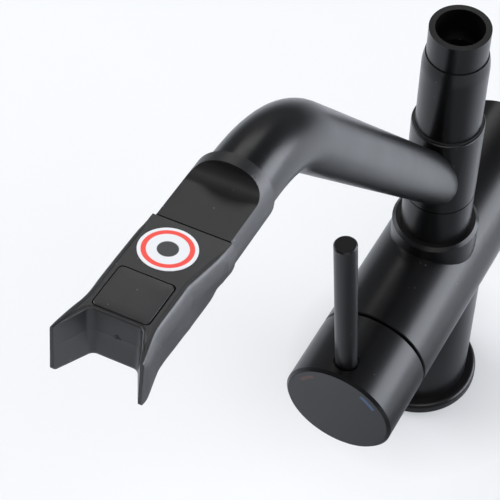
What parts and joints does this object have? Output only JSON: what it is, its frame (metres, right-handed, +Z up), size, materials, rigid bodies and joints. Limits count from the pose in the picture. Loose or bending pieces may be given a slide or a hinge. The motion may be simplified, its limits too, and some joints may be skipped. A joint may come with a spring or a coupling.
{
  "type": "kitchen mixer tap",
  "caption": "Matt black single lever kitchen mixer: horizontal barrel on a column, side lever on its end, and a swivel arm with a magnetic fork that parks a spray head.",
  "frame": {"origin": "on the column's axis, in the plane of the worktop, which is the gasket's underside", "axes": "+Z up along the column, -Y along the barrel towards the handle, +X to the right of someone who faces the handle; the arm points to -Y, turned 3.5 degrees to +X"},
  "size_m": [0.055, 0.3427, 0.4224],
  "materials": {
    "satin_black": "satin, fine texture",
    "face_grey": "satin",
    "black_plastic": "matt, fine grain",
    "red_mark": "satin",
    "blue_mark": "satin",
    "label_white": "satin, with a red ring",
    "rubber": "matt",
    "steel": "brushed",
    "dark_steel": "blackened",
    "brass": "machined",
    "cartridge_plastic": "moulded",
    "bush_plastic": "turned",
    "magnet": "nickel plated"
  },
  "bodies": {
    "base": {"base_gasket": "rubber", "base_flange": "satin_black", "shank": "brass", "rubber_washer": "rubber", "steel_washer": "steel", "lock_nut": "brass", "mixer_body": "satin_black", "rear_cap": "satin_black", "rear_cap_seal": "rubber", "riser_seal": "rubber", "riser_tube": "brass", "neck_sleeve": "satin_black", "swivel_washer_lower": "black_plastic", "swivel_washer_upper": "black_plastic", "riser_collar": "satin_black", "collar_grub_screw": "dark_steel", "upper_tube": "satin_black", "cartridge_body": "cartridge_plastic", "cartridge_seals": "rubber", "retaining_nut": "brass", "dome_cover": "satin_black"},
    "rotor": {"cartridge_rotor": "cartridge_plastic", "stem_pin": "steel"},
    "handle": {"cartridge_stem": "brass", "handle_drum": "satin_black", "face_disc": "face_grey", "hot_mark": "red_mark", "cold_mark": "blue_mark", "lever_pin": "satin_black", "handle_grub_screw": "dark_steel"},
    "arm": {"swivel_arm": "satin_black", "swivel_bush_lower": "bush_plastic", "swivel_bush_upper": "bush_plastic", "end_fitting": "satin_black", "fork_holder": "black_plastic", "holder_screw": "dark_steel", "magnet": "magnet", "magnet_cover": "black_plastic", "round_label": "label_white"}
  },
  "joints": [
    {"name": "handle_turn", "type": "hinge", "parent": "base", "child": "rotor", "pos_m": [0, -0.04, 0.082], "axis": [0, -1, 0], "range_deg": [-48, 42]},
    {"name": "handle_lift", "type": "hinge", "parent": "rotor", "child": "handle", "pos_m": [0, -0.04, 0.082], "axis": [0.9986, 0, 0.0523], "range_deg": [0, 15]},
    {"name": "arm_swivel", "type": "hinge", "parent": "base", "child": "arm", "pos_m": [0, 0, 0.154], "axis": [0, 0, 1], "range_deg": [-180, 180]}
  ]
}
